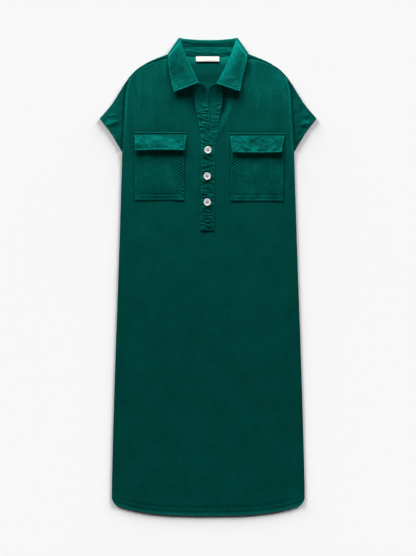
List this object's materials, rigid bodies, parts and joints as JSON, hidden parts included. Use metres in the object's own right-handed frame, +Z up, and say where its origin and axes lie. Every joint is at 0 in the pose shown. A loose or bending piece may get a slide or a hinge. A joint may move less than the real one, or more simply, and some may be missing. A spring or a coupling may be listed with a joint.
{
  "type": "shirt dress",
  "caption": "Short-sleeved shirt dress laid flat: shirt collar, half-length button placket, flapped chest pockets and a curved hem.",
  "frame": {"origin": "on the surface that the dress lies on, under the middle of its outline", "axes": "+X to the viewer's right across the dress, +Y from the hem to the collar, +Z up out of the surface, with the front facing up"},
  "size_m": [0.565, 1.2431, 0.014],
  "materials": {
    "linen": "deep green plain-weave linen, matt with a soft sheen, lightly puckered along its seams",
    "linen_collar": "the same linen doubled and pressed for the collar",
    "button_shell": "milky white four-hole buttons with a satin shine",
    "label_tape": "off-white woven tape, bare"
  },
  "bodies": {
    "root": {"back": "linen", "front": "linen", "sleeve_left": "linen", "sleeve_right": "linen", "collar_fall": "linen_collar", "collar_stand": "linen_collar", "placket_under": "linen", "placket_over": "linen", "pocket_left": "linen", "pocket_right": "linen", "pocket_flap_left": "linen", "pocket_flap_right": "linen", "button_top": "button_shell", "button_middle": "button_shell", "button_bottom": "button_shell", "neck_label": "label_tape"}
  },
  "joints": []
}
